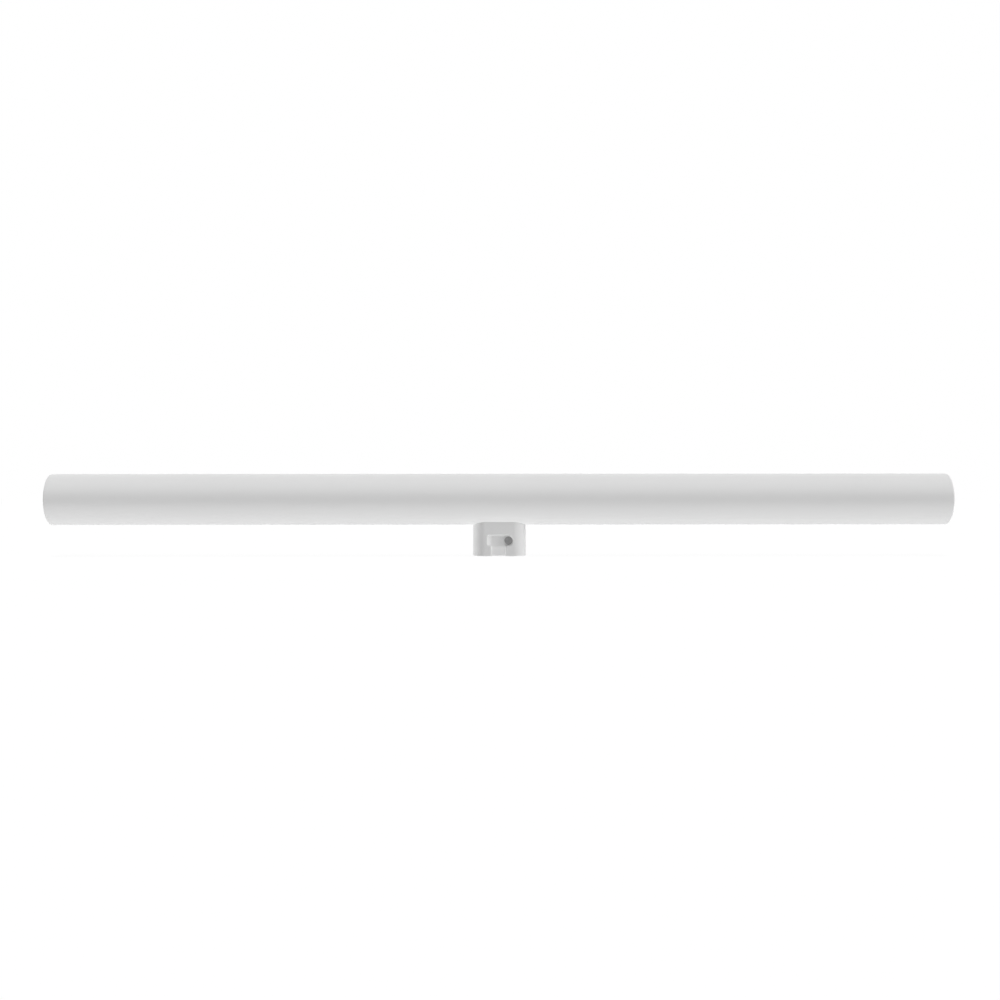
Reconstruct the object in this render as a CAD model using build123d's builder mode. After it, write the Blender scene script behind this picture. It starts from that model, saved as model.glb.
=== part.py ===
from build123d import *
from math import cos, radians, sin, tan
import os

# Tubular lamp: a sealed opal tube with one two-contact cap under its middle.
# Millimetres. X runs along the tube, the front faces -Y, and Z = 0 is the cap's seat face.

# Opal tube
TUBE_LENGTH = 500.0
TUBE_DIAMETER = 28.4
TUBE_END_RADIUS = 0.8  # rounding where the flat ends meet the wall

# Lamp cap, an oblong moulding with half-round ends
CAP_LENGTH = 29.4
CAP_WIDTH = 13.6
CAP_DROP = 17.4  # from the underside of the tube down to the seat face
CAP_FOOT_RADIUS = 0.4  # rounding round the seat face
CEMENT_LINE = 0.1  # layer of cement between the saddle and the tube

# Slot in each broad side: a level run that ends round the contact, and an entry from below
SLOT_DEPTH = 1.9
RUN_HEIGHT = 5.7
RUN_MIDLINE = 8.7  # height of the run's middle above the seat face
CONTACT_OFFSET = 5.0  # from the middle of the cap to the middle of the contact
LIP_LENGTH = 1.7  # straight lower lip between the entry and the contact's middle
ENTRY_WIDTH = 7.7
ENTRY_RAMP_ANGLE = 18.0  # lean of the entry's floor, which lies deepest at the seat face
ENTRY_EASE = 3.0  # radius in which the run's floor bends into that floor
ENTRY_FOOT = 0.7  # height of the bevel where it meets the seat face
ENTRY_CORNER = 1.2
LOBE_LENGTH = 2.1  # how far the run reaches past the far side of the entry
LOBE_CORNER = 0.85
LOBE_HOLLOW = 4.5  # radius of the hollow in which the run's floor comes up to the rim there
RIM_BEVEL = 0.4  # bevel round the mouth of the slot
BEVEL_ANGLE = 45.0

# Contact, a round head on a shank that sits in the web
CONTACT_CLEARANCE = 0.65  # round the head, inside the end of the run
CONTACT_PROUD = 1.3  # how far the head stands off the slot's floor
CONTACT_EDGE = 0.25  # rounding round the head
SHANK_DIAMETER = 2.4
SHANK_CLEARANCE = 0.05  # round the shank and past its end
SHANK_WALL = 3.0  # part of the web left between the holes of the two shanks

# Places that follow from the sizes above
tube_radius = TUBE_DIAMETER / 2
axis_height = CAP_DROP + tube_radius
front_face = -CAP_WIDTH / 2
slot_floor = front_face + SLOT_DEPTH
rim_foot = front_face + RIM_BEVEL
below_seat = -CAP_FOOT_RADIUS
run_radius = RUN_HEIGHT / 2
run_bottom = RUN_MIDLINE - run_radius
run_top = RUN_MIDLINE + run_radius
entry_right = CONTACT_OFFSET - LIP_LENGTH
entry_left = entry_right - ENTRY_WIDTH
run_left = entry_left - LOBE_LENGTH
run_length = CONTACT_OFFSET + run_radius - run_left
ramp_lean = radians(ENTRY_RAMP_ANGLE)
ramp_top = run_bottom - ENTRY_EASE * sin(ramp_lean)
ramp_foot = ENTRY_EASE * (1 - cos(ramp_lean)) + (ramp_top - ENTRY_FOOT) * tan(ramp_lean)
ramp_depth = ramp_foot + (ENTRY_FOOT - below_seat) * tan(radians(BEVEL_ANGLE))
contact_radius = run_radius - CONTACT_CLEARANCE
shank_radius = SHANK_DIAMETER / 2
hole_depth = -slot_floor - SHANK_WALL / 2
floor_plane = Plane(origin=(0, slot_floor, 0), x_dir=(1, 0, 0), z_dir=(0, -1, 0))
bevel_plane = floor_plane.offset(SLOT_DEPTH - RIM_BEVEL)

os.makedirs("parts", exist_ok=True)


# Sealed opal tube with flat closed ends
with BuildPart() as opal_tube:
    with BuildSketch(Plane.YZ.offset(-TUBE_LENGTH / 2)):
        with Locations((0, axis_height)):
            Circle(tube_radius)
    extrude(amount=TUBE_LENGTH)
    fillet(opal_tube.edges().filter_by(GeomType.CIRCLE), TUBE_END_RADIUS)
opal_tube.part.label = "opal_tube"
export_step(opal_tube.part, "parts/opal_tube.step")


# Outline of the front slot, seen from the front, running out below the seat face
with BuildSketch() as slot_outline:
    with BuildLine():
        FilletPolyline(
            (CONTACT_OFFSET, run_top),
            (run_left, run_top),
            (run_left, run_bottom),
            (entry_left, run_bottom),
            (entry_left, below_seat),
            radius=[LOBE_CORNER, LOBE_CORNER, ENTRY_CORNER],
        )
        Line((entry_left, below_seat), (entry_right, below_seat))
        FilletPolyline(
            (entry_right, below_seat),
            (entry_right, run_bottom),
            (CONTACT_OFFSET, run_bottom),
            radius=ENTRY_CORNER,
        )
        CenterArc((CONTACT_OFFSET, RUN_MIDLINE), run_radius, -90, 180)
    make_face()


# Wedge behind the level of the run's floor, for the entry's leaning floor
with BuildPart() as ramp_space:
    with BuildSketch(floor_plane):
        add(slot_outline.sketch)
    extrude(amount=-ramp_depth)
    with BuildSketch(Plane.YZ.offset(run_left)):
        with BuildLine():
            bend = CenterArc((slot_floor + ENTRY_EASE, run_bottom), ENTRY_EASE, 180, ENTRY_RAMP_ANGLE)
            Polyline(
                bend @ 1,
                (slot_floor + ramp_foot, ENTRY_FOOT),
                (slot_floor + ramp_depth, below_seat),
                (slot_floor, below_seat),
                bend @ 0,
            )
        make_face()
    extrude(amount=run_length, mode=Mode.INTERSECT)


# Space taken out of the cap by the front slot and the hole for its contact
with BuildPart() as slot_space:
    with BuildSketch(floor_plane):
        add(slot_outline.sketch)
    extrude(amount=SLOT_DEPTH)
    # The far end of the run comes up from the floor in a hollow curve
    with BuildSketch(Plane.XY.offset(run_bottom)):
        with BuildLine():
            Polyline((entry_left, slot_floor), (run_left, slot_floor), (run_left, rim_foot))
            RadiusArc((run_left, rim_foot), (entry_left, slot_floor), LOBE_HOLLOW)
        make_face()
    extrude(amount=RUN_HEIGHT, mode=Mode.SUBTRACT)
    with BuildSketch(bevel_plane):
        add(slot_outline.sketch)
    extrude(amount=RIM_BEVEL, taper=-BEVEL_ANGLE)
    add(ramp_space.part)
    with BuildSketch(floor_plane):
        with Locations((CONTACT_OFFSET, RUN_MIDLINE)):
            Circle(shank_radius + SHANK_CLEARANCE)
    extrude(amount=-hole_depth)


# Lamp cap with its saddle cut to the tube and a slot in each broad side
with BuildPart() as lamp_cap:
    with BuildSketch():
        SlotOverall(CAP_LENGTH, CAP_WIDTH)
    extrude(amount=axis_height)
    fillet(lamp_cap.faces().sort_by(Axis.Z)[0].edges(), CAP_FOOT_RADIUS)
    with BuildSketch(Plane.YZ):
        with Locations((0, axis_height)):
            Circle(tube_radius + CEMENT_LINE)
    extrude(amount=CAP_LENGTH, both=True, mode=Mode.SUBTRACT)
    add(slot_space.part, mode=Mode.SUBTRACT)
    mirror(slot_space.part, about=Plane.XZ, mode=Mode.SUBTRACT)
lamp_cap.part.label = "lamp_cap"
export_step(lamp_cap.part, "parts/lamp_cap.step")


# Contact in the front slot
with BuildPart() as front_contact:
    with BuildSketch(floor_plane):
        with Locations((CONTACT_OFFSET, RUN_MIDLINE)):
            Circle(contact_radius)
    extrude(amount=CONTACT_PROUD)
    fillet(front_contact.faces().sort_by(Axis.Y)[0].edges(), CONTACT_EDGE)
    with BuildSketch(floor_plane):
        with Locations((CONTACT_OFFSET, RUN_MIDLINE)):
            Circle(shank_radius)
    extrude(amount=SHANK_CLEARANCE - hole_depth)
front_contact.part.label = "front_contact"
export_step(front_contact.part, "parts/front_contact.step")


# Contact in the rear slot, opposite the front one so that one sideways push of the lamp reaches both
with BuildPart() as rear_contact:
    mirror(front_contact.part, about=Plane.XZ)
rear_contact.part.label = "rear_contact"
export_step(rear_contact.part, "parts/rear_contact.step")
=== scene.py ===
import math

import bpy
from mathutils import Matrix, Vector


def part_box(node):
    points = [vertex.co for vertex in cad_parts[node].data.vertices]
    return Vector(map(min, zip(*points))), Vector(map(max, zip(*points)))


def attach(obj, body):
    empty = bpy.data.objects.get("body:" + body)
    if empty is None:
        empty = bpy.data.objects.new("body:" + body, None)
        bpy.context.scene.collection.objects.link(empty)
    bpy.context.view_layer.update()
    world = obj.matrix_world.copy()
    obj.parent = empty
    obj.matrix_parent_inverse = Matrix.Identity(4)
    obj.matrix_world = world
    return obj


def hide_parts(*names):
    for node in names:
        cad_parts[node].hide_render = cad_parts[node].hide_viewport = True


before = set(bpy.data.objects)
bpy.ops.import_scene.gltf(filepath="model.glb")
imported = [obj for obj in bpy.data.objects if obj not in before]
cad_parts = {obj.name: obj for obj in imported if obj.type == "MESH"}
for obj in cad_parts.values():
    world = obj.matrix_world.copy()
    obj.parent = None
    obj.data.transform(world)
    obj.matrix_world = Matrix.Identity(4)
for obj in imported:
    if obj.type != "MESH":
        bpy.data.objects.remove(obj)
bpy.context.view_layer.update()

# Sizes in metres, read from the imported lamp
MM = 0.001
tube_low, tube_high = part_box("opal_tube")
contact_low, contact_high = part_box("front_contact")
tube_length = tube_high.x - tube_low.x
tube_radius = (tube_high.y - tube_low.y) / 2
tube_axis_height = (tube_high.z + tube_low.z) / 2
contact_middle = (contact_low + contact_high) / 2
TUBE_END_ROUNDING = 0.8 * MM
TUBE_WALL_START = 0.3 * MM  # ring beside each rounding, from which the wall's shading is straight
TUBE_SIDES = 192
TUBE_ROUNDING_STEPS = 10
FLAT_END = 0.9999  # a face that looks along the tube this squarely is one of its flat ends

# The photograph: level with the tube's axis, a hair to the left of straight on and a hair rolled
CAMERA_DISTANCE = 711 * MM
CAMERA_TURN = math.radians(-0.25)
CAMERA_ROLL = math.radians(0.044)
CAMERA_LENS = 45.8
CAMERA_SENSOR = 36.0
CAMERA_SHIFT = (0.00065, -0.0008)
CAMERA_NEAR = 5 * MM

# Soft lamps far away: name, heading (0 is the front, 90 the right), height angle, strength.
# The fills are free of cast shadows, as in the photo, where the slot's walls throw none.
KEY_LAMPS = [
    ("top_key", 0, 90, 1.46),
    ("top_front_key", 0, 50, 0.44),
    ("right_key", 78, 10, 1.26),
    ("right_low_key", 86, -10, 0.38),
    ("front_low_key", 25, -30, 0.53),
    ("back_key", 180, 0, 0.8),
]
FILL_LAMPS = [
    ("left_back_fill", -110, 0, 1.74),
    ("front_low_fill", -25, -30, 0.42),
    ("low_fill", 0, -90, 1.46),
]
LAMP_SPREAD = 25
LAMP_DISTANCE = 3.0
AMBIENT = 0.23
WHITE = 1.0  # strength at which the surroundings look white
FLOOR_REACH = 30.0
FLOOR_TINT = 0.08
FLOOR_LIGHT = 0.87  # what falls on the open floor


# Node helpers

def put(tree, kind, inputs=None, **settings):
    """Adds a node, with values or links for its inputs."""
    made = tree.nodes.new(kind)
    for name, value in settings.items():
        setattr(made, name, value)
    for name, value in (inputs or {}).items():
        if isinstance(value, bpy.types.NodeSocket):
            tree.links.new(value, made.inputs[name])
        else:
            made.inputs[name].default_value = value
    return made


def reckon(tree, operation, first, second=0.0):
    """One step of arithmetic between two sockets or numbers."""
    return put(tree, "ShaderNodeMath", {0: first, 1: second}, operation=operation).outputs[0]


def mix_tones(tree, share, first, second):
    """Blends one tone into another; 6 and 7 are the Mix node's two colours."""
    return put(tree, "ShaderNodeMix", {0: share, 6: first, 7: second}, data_type="RGBA").outputs[2]


def use_group(tree, group, inputs):
    """Places a node group with its own values."""
    return put(tree, "ShaderNodeGroup", inputs, node_tree=group)


def add_sockets(tree, side, sockets):
    """Gives a node tree its named inputs or outputs, and returns their identifiers."""
    kinds = {"float": "NodeSocketFloat", "int": "NodeSocketInt", "vector": "NodeSocketVector",
             "colour": "NodeSocketColor", "geometry": "NodeSocketGeometry"}
    return {name: tree.interface.new_socket(name, in_out=side, socket_type=kinds[kind]).identifier
            for name, kind in sockets}


def grey(value):
    return (value, value, value, 1.0)


# Finishes shared by the plastics and the metal

def make_grain_group():
    """Fine surface grain: a height for bump and a mask for the tops of the grain."""
    tree = bpy.data.node_groups.new("fine_grain", "ShaderNodeTree")
    add_sockets(tree, "INPUT", [("Place", "vector"), ("Grain Size", "float"), ("Roughness", "float")])
    add_sockets(tree, "OUTPUT", [("Height", "float"), ("Mask", "float")])
    given = put(tree, "NodeGroupInput").outputs
    frequency = reckon(tree, "DIVIDE", 1.0, given["Grain Size"])
    noise = put(tree, "ShaderNodeTexNoise", {
        "Vector": given["Place"], "Scale": frequency, "Detail": 2.0, "Roughness": given["Roughness"]})
    tops = put(tree, "ShaderNodeMapRange", {
        "Value": noise.outputs[0], "From Min": 0.45, "From Max": 0.75})
    put(tree, "NodeGroupOutput", {"Height": noise.outputs[0], "Mask": tops.outputs[0]})
    return tree


def make_drift_group():
    """Slow drift of tone and gloss over a surface, from one batch of material to the next."""
    tree = bpy.data.node_groups.new("tone_drift", "ShaderNodeTree")
    add_sockets(tree, "INPUT", [
        ("Place", "vector"), ("Patch Size", "float"), ("Light Tone", "colour"),
        ("Dark Tone", "colour"), ("Smooth", "float"), ("Dull", "float")])
    add_sockets(tree, "OUTPUT", [("Tone", "colour"), ("Dullness", "float")])
    given = put(tree, "NodeGroupInput").outputs
    frequency = reckon(tree, "DIVIDE", 1.0, given["Patch Size"])
    noise = put(tree, "ShaderNodeTexNoise", {
        "Vector": given["Place"], "Scale": frequency, "Detail": 3.0, "Roughness": 0.5})
    spread = put(tree, "ShaderNodeMapRange", {
        "Value": noise.outputs[0], "From Min": 0.3, "From Max": 0.7}).outputs[0]
    tone = mix_tones(tree, spread, given["Light Tone"], given["Dark Tone"])
    dull = put(tree, "ShaderNodeMapRange", {
        "Value": spread, "To Min": given["Smooth"], "To Max": given["Dull"]})
    put(tree, "NodeGroupOutput", {"Tone": tone, "Dullness": dull.outputs[0]})
    return tree


fine_grain = make_grain_group()
tone_drift = make_drift_group()


# Materials

def new_material(name):
    """An empty node material with its Principled shader already on the output."""
    material = bpy.data.materials.new(name)
    material.use_nodes = True
    tree = material.node_tree
    tree.nodes.clear()
    shader = put(tree, "ShaderNodeBsdfPrincipled")
    put(tree, "ShaderNodeOutputMaterial", {"Surface": shader.outputs["BSDF"]})
    return material, tree, shader


def wire_finish(tree, shader, tone, dullness, relief):
    """Gives a shader its tone, its dullness and its fine relief."""
    bump = put(tree, "ShaderNodeBump", relief)
    tree.links.new(tone, shader.inputs["Base Color"])
    tree.links.new(dullness, shader.inputs["Roughness"])
    tree.links.new(bump.outputs[0], shader.inputs["Normal"])


def make_opal_plastic():
    """Satin opal tube: faint draw lines along its length under a very fine grain."""
    material, tree, shader = new_material("opal_tube_satin")
    place = put(tree, "ShaderNodeTexCoord").outputs["Object"]
    drift = use_group(tree, tone_drift, {
        "Place": place, "Patch Size": 60 * MM, "Light Tone": grey(0.805), "Dark Tone": grey(0.797),
        "Smooth": 0.43, "Dull": 0.49})
    drawn = put(tree, "ShaderNodeMapping", {"Vector": place, "Scale": (0.004, 1.0, 1.0)}).outputs[0]
    lines = use_group(tree, fine_grain, {"Place": drawn, "Grain Size": 1.2 * MM, "Roughness": 0.6})
    grain = use_group(tree, fine_grain, {"Place": place, "Grain Size": 0.25 * MM, "Roughness": 0.5})
    height = reckon(tree, "ADD", lines.outputs["Height"], grain.outputs["Height"])
    wire_finish(tree, shader, drift.outputs["Tone"], drift.outputs["Dullness"],
                {"Height": height, "Strength": 0.5, "Distance": 0.01 * MM})
    return material


def make_cap_plastic():
    """Moulded satin cap: the spark-worn grain of its mould, a little coarser than the tube's."""
    material, tree, shader = new_material("cap_moulded_satin")
    place = put(tree, "ShaderNodeTexCoord").outputs["Object"]
    drift = use_group(tree, tone_drift, {
        "Place": place, "Patch Size": 7 * MM, "Light Tone": grey(0.79), "Dark Tone": grey(0.775),
        "Smooth": 0.46, "Dull": 0.54})
    grain = use_group(tree, fine_grain, {"Place": place, "Grain Size": 0.18 * MM, "Roughness": 0.6})
    wire_finish(tree, shader, drift.outputs["Tone"], drift.outputs["Dullness"],
                {"Height": grain.outputs["Height"], "Strength": 0.6, "Distance": 0.015 * MM})
    return material


def make_contact_metal():
    """Dull dark nickel with turning marks round the contact's middle and a light tarnish."""
    material, tree, shader = new_material("contact_dull_nickel")
    shader.inputs["Metallic"].default_value = 1.0
    place = put(tree, "ShaderNodeTexCoord").outputs["Object"]
    drift = use_group(tree, tone_drift, {
        "Place": place, "Patch Size": 1.1 * MM, "Light Tone": grey(0.27), "Dark Tone": grey(0.225),
        "Smooth": 0.38, "Dull": 0.5})
    centred = put(tree, "ShaderNodeMapping", {
        "Vector": place, "Location": (-contact_middle.x, 0.0, -contact_middle.z),
        "Scale": (1.0, 0.0, 1.0)}).outputs[0]
    radius = put(tree, "ShaderNodeVectorMath", {0: centred}, operation="LENGTH").outputs["Value"]
    ring = put(tree, "ShaderNodeCombineXYZ", {"X": radius}).outputs[0]
    turned = use_group(tree, fine_grain, {"Place": ring, "Grain Size": 0.12 * MM, "Roughness": 0.6})
    groove = reckon(tree, "MULTIPLY", turned.outputs["Mask"], 0.6)
    tone = mix_tones(tree, groove, drift.outputs["Tone"], grey(0.17))
    wire_finish(tree, shader, tone, drift.outputs["Dullness"],
                {"Height": turned.outputs["Height"], "Strength": 0.7, "Distance": 0.02 * MM})
    return material


opal_plastic = make_opal_plastic()
cap_plastic = make_cap_plastic()
contact_metal = make_contact_metal()


# Opal tube

def make_tube_tree(finish):
    """The tube's rule: a circle drawn along the axis, whose size follows the rounding at both ends."""
    tree = bpy.data.node_groups.new("drawn_opal_tube", "GeometryNodeTree")
    names = add_sockets(tree, "INPUT", [
        ("Length", "float"), ("Radius", "float"), ("End Rounding", "float"), ("Wall Start", "float"),
        ("Axis Height", "float"), ("Sides", "int"), ("Rounding Steps", "int")])
    add_sockets(tree, "OUTPUT", [("Geometry", "geometry")])
    given = put(tree, "NodeGroupInput").outputs
    rounding, steps = given["End Rounding"], given["Rounding Steps"]

    def work(operation, first, second=0.0):
        return reckon(tree, operation, first, second)

    # Each end has the rings of its rounding, and one more where the straight wall starts
    rings = work("MULTIPLY", work("ADD", steps, 2.0), 2.0)
    last = work("SUBTRACT", rings, 1.0)
    line = put(tree, "GeometryNodeCurvePrimitiveLine", {
        "Start": (-1.0, 0.0, 0.0), "End": (1.0, 0.0, 0.0)})
    path = put(tree, "GeometryNodeResampleCurve", {"Curve": line.outputs[0], "Count": rings})
    index = put(tree, "GeometryNodeInputIndex").outputs[0]
    from_end = work("MINIMUM", index, work("SUBTRACT", last, index))
    share = work("MINIMUM", work("DIVIDE", from_end, steps), 1.0)
    turn = work("MULTIPLY", share, math.pi / 2)

    # Where each ring lies along the axis
    bend = work("MULTIPLY", rounding, work("SUBTRACT", 1.0, work("COSINE", turn)))
    past_bend = work("GREATER_THAN", from_end, steps)
    inset = work("ADD", bend, work("MULTIPLY", past_bend, given["Wall Start"]))
    along = work("SUBTRACT", work("DIVIDE", given["Length"], 2.0), inset)
    right_half = work("GREATER_THAN", index, work("DIVIDE", last, 2.0))
    side = work("SUBTRACT", work("MULTIPLY", right_half, 2.0), 1.0)
    place = put(tree, "ShaderNodeCombineXYZ", {
        "X": work("MULTIPLY", along, side), "Z": given["Axis Height"]})
    placed = put(tree, "GeometryNodeSetPosition", {
        "Geometry": path.outputs[0], "Position": place.outputs[0]})

    # How large it is there
    shrink = work("MULTIPLY", rounding, work("SUBTRACT", 1.0, work("SINE", turn)))
    size = work("SUBTRACT", given["Radius"], shrink)
    ring = put(tree, "GeometryNodeCurvePrimitiveCircle", {"Resolution": given["Sides"], "Radius": 1.0})
    skin = put(tree, "GeometryNodeCurveToMesh", {
        "Curve": placed.outputs[0], "Profile Curve": ring.outputs[0], "Scale": size, "Fill Caps": True})

    # The wall and its roundings shade smoothly, and the two ends stay flat
    normal = put(tree, "ShaderNodeSeparateXYZ", {0: put(tree, "GeometryNodeInputNormal").outputs[0]})
    wall = work("LESS_THAN", work("ABSOLUTE", normal.outputs["X"]), FLAT_END)
    smooth = put(tree, "GeometryNodeSetShadeSmooth", {"Geometry": skin.outputs[0], "Shade Smooth": wall})
    whole = put(tree, "GeometryNodeRealizeInstances", {"Geometry": smooth.outputs[0]})
    finished = put(tree, "GeometryNodeSetMaterial", {"Geometry": whole.outputs[0], "Material": finish})
    put(tree, "NodeGroupOutput", {"Geometry": finished.outputs[0]})
    return tree, names


def make_opal_tube():
    """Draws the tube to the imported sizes, as a plain mesh in place of the CAD tube."""
    tree, names = make_tube_tree(opal_plastic)
    pattern = bpy.data.objects.new("tube_pattern", bpy.data.meshes.new("tube_pattern"))
    bpy.context.scene.collection.objects.link(pattern)
    modifier = pattern.modifiers.new("drawn tube", "NODES")
    modifier.node_group = tree
    sizes = {"Length": tube_length, "Radius": tube_radius, "End Rounding": TUBE_END_ROUNDING,
             "Wall Start": TUBE_WALL_START, "Axis Height": tube_axis_height, "Sides": TUBE_SIDES,
             "Rounding Steps": TUBE_ROUNDING_STEPS}
    for name, value in sizes.items():
        modifier[names[name]] = value
    shown = pattern.evaluated_get(bpy.context.evaluated_depsgraph_get())
    mesh = bpy.data.meshes.new_from_object(shown)
    mesh.name = "opal_tube_wall"
    pattern.modifiers.remove(modifier)
    bpy.data.objects.remove(pattern)
    tube = bpy.data.objects.new("opal_tube_wall", mesh)
    bpy.context.scene.collection.objects.link(tube)
    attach(tube, "root")
    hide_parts("opal_tube")


make_opal_tube()

# The cap and the contacts keep their CAD meshes
cad_finishes = {"lamp_cap": cap_plastic, "front_contact": contact_metal, "rear_contact": contact_metal}
for node, finish in cad_finishes.items():
    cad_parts[node].material_slots[0].material = finish


# Studio

def seen_by_eye(tree):
    """1 for what the camera sees directly, in a reflection or through something clear."""
    ray = put(tree, "ShaderNodeLightPath").outputs
    either = reckon(tree, "MAXIMUM", ray["Is Camera Ray"], ray["Is Glossy Ray"])
    return reckon(tree, "MAXIMUM", either, ray["Is Transmission Ray"])


def make_floor():
    """White floor that shows only a soft shadow, and can be looked through from below."""
    half = FLOOR_REACH / 2
    corners = [(-half, -half, 0), (half, -half, 0), (half, half, 0), (-half, half, 0)]
    mesh = bpy.data.meshes.new("studio_floor")
    mesh.from_pydata(corners, [], [(0, 1, 2, 3)])
    floor = bpy.data.objects.new("studio_floor", mesh)
    bpy.context.scene.collection.objects.link(floor)
    material = bpy.data.materials.new("studio_white")
    material.use_nodes = True
    tree = material.node_tree
    tree.nodes.clear()
    # What the paint lacks to white under the open light is made up for the eye alone
    lack = WHITE - FLOOR_TINT * FLOOR_LIGHT
    glow = put(tree, "ShaderNodeEmission", {"Strength": reckon(tree, "MULTIPLY", seen_by_eye(tree), lack)})
    paint = put(tree, "ShaderNodeBsdfDiffuse", {"Color": grey(FLOOR_TINT)})
    both = put(tree, "ShaderNodeAddShader", {0: glow.outputs[0], 1: paint.outputs[0]})
    clear = put(tree, "ShaderNodeBsdfTransparent")
    under = put(tree, "ShaderNodeNewGeometry").outputs["Backfacing"]
    shown = put(tree, "ShaderNodeMixShader", {0: under, 1: both.outputs[0], 2: clear.outputs[0]})
    put(tree, "ShaderNodeOutputMaterial", {"Surface": shown.outputs[0]})
    mesh.materials.append(material)
    floor.visible_diffuse = False
    floor.visible_shadow = False


def make_surroundings():
    """Even white surroundings, dimmer as light than as background."""
    world = bpy.data.worlds.new("studio_surroundings")
    bpy.context.scene.world = world
    world.use_nodes = True
    tree = world.node_tree
    tree.nodes.clear()
    light = put(tree, "ShaderNodeBackground", {"Color": grey(1.0), "Strength": AMBIENT})
    white = put(tree, "ShaderNodeBackground", {"Color": grey(1.0), "Strength": WHITE})
    shown = put(tree, "ShaderNodeMixShader", {
        0: seen_by_eye(tree), 1: light.outputs[0], 2: white.outputs[0]})
    put(tree, "ShaderNodeOutputWorld", {"Surface": shown.outputs[0]})


def make_lamps():
    """Soft lamps whose shapes don't show in the satin surfaces."""
    for lamps, casts_shadow in ((KEY_LAMPS, True), (FILL_LAMPS, False)):
        for name, heading, height, strength in lamps:
            turn, rise = math.radians(heading), math.radians(height)
            data = bpy.data.lights.new(name, "SUN")
            data.energy = strength
            data.angle = math.radians(LAMP_SPREAD)
            data.use_shadow = casts_shadow
            lamp = bpy.data.objects.new(name, data)
            bpy.context.scene.collection.objects.link(lamp)
            towards = (math.sin(turn) * math.cos(rise), -math.cos(turn) * math.cos(rise), math.sin(rise))
            lamp.location = [LAMP_DISTANCE * part for part in towards]
            lamp.rotation_euler = (math.pi / 2 - rise, 0.0, turn)
            lamp.visible_glossy = False


def make_camera():
    """The photograph's view."""
    data = bpy.data.cameras.new("photo_camera")
    data.lens = CAMERA_LENS
    data.sensor_width = CAMERA_SENSOR
    data.clip_start = CAMERA_NEAR
    data.shift_x, data.shift_y = CAMERA_SHIFT
    camera = bpy.data.objects.new("photo_camera", data)
    camera.location = (CAMERA_DISTANCE * math.sin(CAMERA_TURN),
                       -CAMERA_DISTANCE * math.cos(CAMERA_TURN), tube_axis_height)
    camera.rotation_euler = (math.pi / 2, CAMERA_ROLL, CAMERA_TURN)
    bpy.context.scene.collection.objects.link(camera)
    bpy.context.scene.camera = camera


make_floor()
make_surroundings()
make_lamps()
make_camera()
bpy.context.scene.view_settings.view_transform = "Standard"
